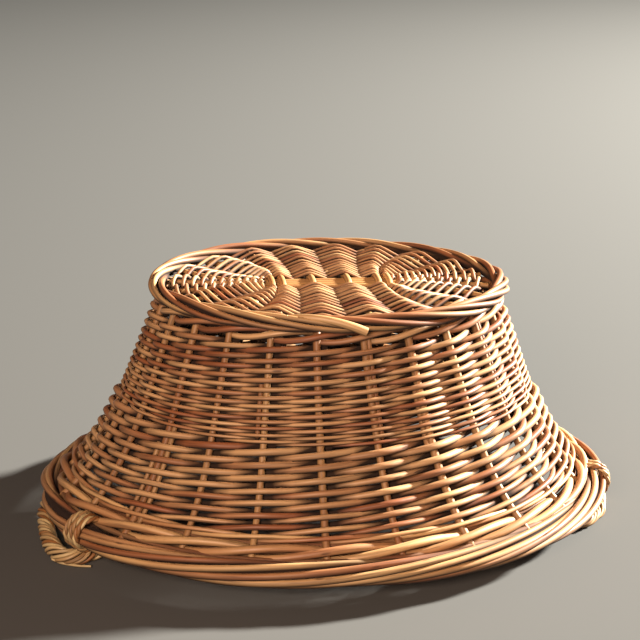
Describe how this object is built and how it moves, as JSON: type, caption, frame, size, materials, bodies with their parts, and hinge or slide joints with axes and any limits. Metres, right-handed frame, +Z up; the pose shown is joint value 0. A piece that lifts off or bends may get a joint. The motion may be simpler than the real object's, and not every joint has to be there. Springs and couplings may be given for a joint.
{
  "type": "woven oval basket",
  "caption": "Oval woven willow basket with flared sides, a thick roped rim, a woven oval base and two small twisted rope handles, standing upside down.",
  "frame": {"origin": "on the surface that the basket stands on, under the middle of its length and width, with the basket upside down on its two rope handles as in the picture", "axes": "+X along the basket's length, +Y across it towards the back of the picture, +Z up, out through the base"},
  "size_m": [0.4437, 0.352, 0.181],
  "materials": {
    "weaver_willow": "smooth semi-matt peeled willow, buff brown",
    "stake_willow": "smooth semi-matt peeled willow, darker brown",
    "stick_willow": "smooth semi-matt peeled willow, pale buff",
    "border_willow": "smooth semi-gloss peeled willow, buff",
    "rope_willow": "twisted willow, semi-matt, grey buff"
  },
  "bodies": {
    "root": {"foot_wale": "border_willow", "long_stick_1": "stick_willow", "long_stick_2": "stick_willow", "long_stick_3": "stick_willow", "long_stick_4": "stick_willow", "short_stick_1": "stick_willow", "short_stick_2": "stick_willow", "short_stick_3": "stick_willow", "short_stick_4": "stick_willow", "short_stick_5": "stick_willow", "short_stick_6": "stick_willow", "base_weave": "weaver_willow", "foot_wale_butt": "border_willow", "border": "border_willow", "stake_01": "stake_willow", "stake_02": "stake_willow", "stake_03": "stake_willow", "stake_04": "stake_willow", "stake_05": "stake_willow", "stake_06": "stake_willow", "stake_07": "stake_willow", "stake_08": "stake_willow", "stake_09": "stake_willow", "stake_10": "stake_willow", "stake_11": "stake_willow", "stake_12": "stake_willow", "stake_13": "stake_willow", "stake_14": "stake_willow", "stake_15": "stake_willow", "stake_16": "stake_willow", "stake_17": "stake_willow", "stake_18": "stake_willow", "stake_19": "stake_willow", "stake_20": "stake_willow", "stake_21": "stake_willow", "stake_22": "stake_willow", "stake_23": "stake_willow", "stake_24": "stake_willow", "upsett_wale": "weaver_willow", "upper_siding": "weaver_willow", "lower_siding": "weaver_willow", "rim_wale": "weaver_willow", "left_rope_loop": "rope_willow", "right_rope_loop": "rope_willow", "left_handle_wrap": "rope_willow", "right_handle_wrap": "rope_willow"}
  },
  "joints": []
}
